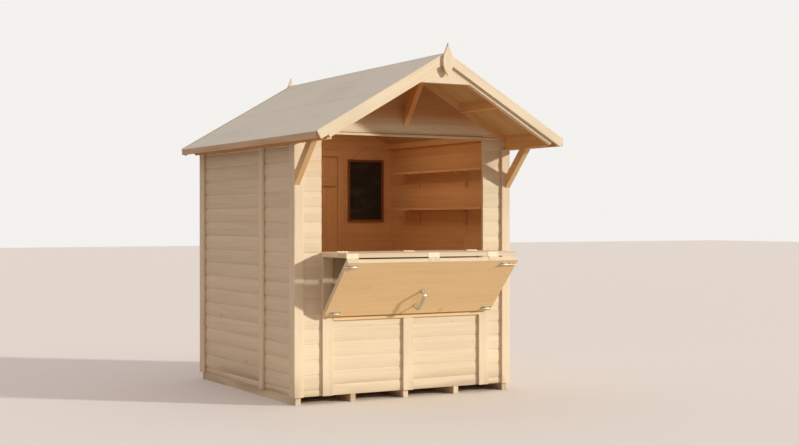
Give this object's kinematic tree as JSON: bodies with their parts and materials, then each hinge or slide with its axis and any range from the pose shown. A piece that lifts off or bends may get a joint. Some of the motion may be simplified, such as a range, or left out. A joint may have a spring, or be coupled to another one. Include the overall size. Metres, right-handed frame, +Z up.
{
  "type": "wooden market stall",
  "caption": "Gable-roofed wooden market hut with a serving opening, a fold-down counter leaf, a framed flap below it and a roof that reaches out over the customers.",
  "frame": {"origin": "on the ground under the middle of the hut, on the underside of the middle bearer", "axes": "+X to the customer's right along the front, +Y from the serving front to the back, +Z up"},
  "size_m": [2.214, 2.899, 2.7948],
  "materials": {
    "boards": "planed and weathered pale softwood",
    "timber": "sawn pale softwood",
    "flap_wood": "planed softwood, more orange than the rest",
    "zinc_steel": "bright zinc-plated steel",
    "felt": "mineral-surfaced bitumen felt",
    "slate": "matt black writing board in a wooden frame"
  },
  "bodies": {
    "hut": {"floor_bearers": "timber", "floor_deck": "boards", "left_wall": "boards", "right_wall": "boards", "front_wall_piers": "boards", "back_wall_panels": "boards", "front_lower_wall": "boards", "front_gable": "boards", "rear_gable": "boards", "corner_boards": "boards", "side_cover_boards": "boards", "front_cover_boards": "boards", "hatch_ledge": "boards", "lintel_strip": "boards", "ridge_purlin": "timber", "mid_purlins": "timber", "eave_purlins": "timber", "wall_plates": "timber", "rake_trims": "boards", "roof_struts": "timber", "roof_boards_left": "boards", "roof_boards_right": "boards", "roof_felt": "felt", "eave_fascias": "boards", "bargeboards_left": "boards", "bargeboards_right": "boards", "verge_rafters_left": "timber", "verge_rafters_right": "timber", "verge_gussets": "timber", "finials": "boards", "counter_sill": "boards", "fixed_hinge_plates": "zinc_steel", "door_jambs": "boards", "door_head": "boards", "wall_shelves": "boards", "shelf_brackets": "boards", "wall_slate": "slate"},
    "counter": {"counter_leaf": "boards", "leaf_hinge_plates": "zinc_steel"},
    "flap": {"flap_boards": "flap_wood", "flap_battens": "flap_wood", "flap_hinge_plates": "zinc_steel", "flap_bolts": "zinc_steel", "flap_handle": "zinc_steel"},
    "door": {"door_leaf": "boards", "door_hinge_straps": "zinc_steel", "door_handle": "zinc_steel"}
  },
  "joints": [
    {"name": "counter_hinge", "type": "hinge", "parent": "hut", "child": "counter", "pos_m": [0, -1.045, 1.1885], "axis": [-1, 0, 0], "range_deg": [0, 90]},
    {"name": "flap_hinge", "type": "hinge", "parent": "counter", "child": "flap", "pos_m": [0, -1.445, 1.1455], "axis": [-1, 0, 0], "range_deg": [0, 134]},
    {"name": "door_hinge", "type": "hinge", "parent": "hut", "child": "door", "pos_m": [-0.3615, 1.0095, 1], "axis": [0, 0, 1], "range_deg": [0, 110]}
  ],
  "couplings": [
    {"joint": "flap_hinge", "follows": "counter_hinge", "ratio": 1.4888}
  ]
}
